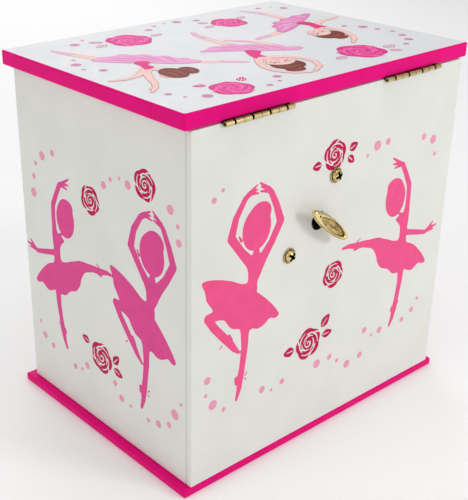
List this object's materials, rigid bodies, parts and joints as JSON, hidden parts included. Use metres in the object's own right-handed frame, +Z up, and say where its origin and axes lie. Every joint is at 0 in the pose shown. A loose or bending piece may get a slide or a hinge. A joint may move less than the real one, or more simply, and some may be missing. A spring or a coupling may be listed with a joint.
{
  "type": "wind up music box",
  "caption": "Wind-up musical jewellery box: white printed case with pink edges, hinged lid, drawers, tray with a turning dancer, and a movement wound by a key in the back.",
  "frame": {"origin": "centre of the case on the underside of the base", "axes": "+Z up, front with the drawers along -Y, hinges and winding key along +Y, +X to the right seen from the front"},
  "size_m": [0.1692, 0.1408, 0.1701],
  "materials": {
    "white_print_paper": "printed art paper wrapped on board, satin",
    "pink_satin": "satin pink coated board edge",
    "lid_wrap": "white printed top with satin pink edges",
    "tray_lining": "flocked pink lining",
    "velvet": "pink velvet",
    "bare_board": "raw fibreboard",
    "brass": "polished brass plate",
    "pale_brass": "pale antique brass",
    "steel": "bright plated steel",
    "spring_steel": "blued spring steel",
    "white_nylon": "moulded nylon",
    "mirror_glass": "silvered glass",
    "doll_plastic": "painted moulded plastic",
    "tulle": "stiff pink net"
  },
  "bodies": {
    "case": {"back_panel": "white_print_paper", "base_board": "pink_satin", "bedplate": "steel", "comb": "spring_steel", "comb_screw_1": "brass", "comb_screw_2": "brass", "end_bracket": "steel", "front_fascia": "white_print_paper", "governor_frame": "brass", "hinge_rail": "bare_board", "inner_back_wall": "bare_board", "left_hinge_case_leaf": "brass", "left_hinge_pin": "steel", "left_side_panel": "white_print_paper", "lower_shelf": "white_print_paper", "mainspring": "spring_steel", "middle_shelf": "white_print_paper", "movement_screw_lower": "brass", "movement_screw_upper": "brass", "near_bracket": "steel", "right_hinge_case_leaf": "brass", "right_hinge_pin": "steel", "right_side_panel": "white_print_paper", "ring_roll_1": "velvet", "ring_roll_2": "velvet", "ring_roll_3": "velvet", "spring_housing": "steel", "tray_back_wall": "tray_lining", "tray_cross_divider": "velvet", "tray_floor": "tray_lining", "tray_left_divider": "velvet", "tray_right_divider": "velvet"},
    "lid": {"lid_board": "lid_wrap", "mirror_frame": "pale_brass", "mirror": "mirror_glass", "right_hinge_lid_leaf": "brass", "left_hinge_lid_leaf": "brass"},
    "winding_train": {"winding_key": "pale_brass", "winding_arbor": "steel", "great_wheel": "brass"},
    "cylinder": {"pinned_cylinder": "brass", "cylinder_gear": "brass"},
    "governor": {"governor_wheel": "white_nylon"},
    "fly": {"fly_worm": "steel"},
    "spindle": {"dancer_spindle": "steel", "spindle_crown": "white_nylon", "turntable": "pink_satin"},
    "dancer": {"dancer_spring": "steel", "dancer_figure": "doll_plastic", "dancer_tutu": "tulle"},
    "stop": {"stop_rod": "steel"},
    "lower_drawer": {"lower_drawer_front": "white_print_paper", "lower_drawer_tray": "tray_lining", "lower_drawer_knob": "pale_brass"},
    "middle_drawer": {"middle_drawer_front": "white_print_paper", "middle_drawer_tray": "tray_lining", "middle_drawer_knob": "pale_brass"},
    "upper_drawer": {"upper_drawer_front": "white_print_paper", "upper_drawer_tray": "tray_lining", "upper_drawer_knob": "pale_brass"}
  },
  "joints": [
    {"name": "lid_hinge", "type": "hinge", "parent": "case", "child": "lid", "pos_m": [0, 0.0617, 0.1629], "axis": [-1, 0, 0], "range_deg": [0, 100]},
    {"name": "cylinder_turn", "type": "hinge", "parent": "case", "child": "cylinder", "pos_m": [-0.01185, 0.03718, 0.1085], "axis": [1, 0, 0], "continuous": true},
    {"name": "key_turn", "type": "hinge", "parent": "case", "child": "winding_train", "pos_m": [0.0097, 0.0605, 0.1085], "axis": [0, 1, 0], "continuous": true},
    {"name": "governor_turn", "type": "hinge", "parent": "case", "child": "governor", "pos_m": [-0.024, 0.03718, 0.09811], "axis": [1, 0, 0], "continuous": true},
    {"name": "fly_turn", "type": "hinge", "parent": "case", "child": "fly", "pos_m": [-0.0269, 0.04168, 0.096], "axis": [0, 0, 1], "continuous": true},
    {"name": "dancer_turn", "type": "hinge", "parent": "case", "child": "spindle", "pos_m": [-0.01417, 0.03718, 0.124], "axis": [0, 0, 1], "continuous": true},
    {"name": "dancer_rise", "type": "slide", "parent": "spindle", "child": "dancer", "axis": [0, 0, 1], "range_m": [0, 0.016], "deforming": ["dancer_spring"]},
    {"name": "stop_rod_rise", "type": "slide", "parent": "case", "child": "stop", "axis": [0, 0, 1], "range_m": [0, 0.003]},
    {"name": "lower_drawer_slide", "type": "slide", "parent": "case", "child": "lower_drawer", "axis": [0, -1, 0], "range_m": [0, 0.062]},
    {"name": "middle_drawer_slide", "type": "slide", "parent": "case", "child": "middle_drawer", "axis": [0, -1, 0], "range_m": [0, 0.062]},
    {"name": "upper_drawer_slide", "type": "slide", "parent": "case", "child": "upper_drawer", "axis": [0, -1, 0], "range_m": [0, 0.062]}
  ],
  "couplings": [
    {"joint": "key_turn", "follows": "cylinder_turn", "ratio": 0.33333},
    {"joint": "governor_turn", "follows": "cylinder_turn", "ratio": -3.25},
    {"joint": "fly_turn", "follows": "cylinder_turn", "ratio": 19.5},
    {"joint": "dancer_turn", "follows": "cylinder_turn", "ratio": 1.0833},
    {"joint": "dancer_rise", "follows": "lid_hinge", "m_per_rad": 0.0091673},
    {"joint": "stop_rod_rise", "follows": "lid_hinge", "m_per_rad": 0.0017189}
  ]
}
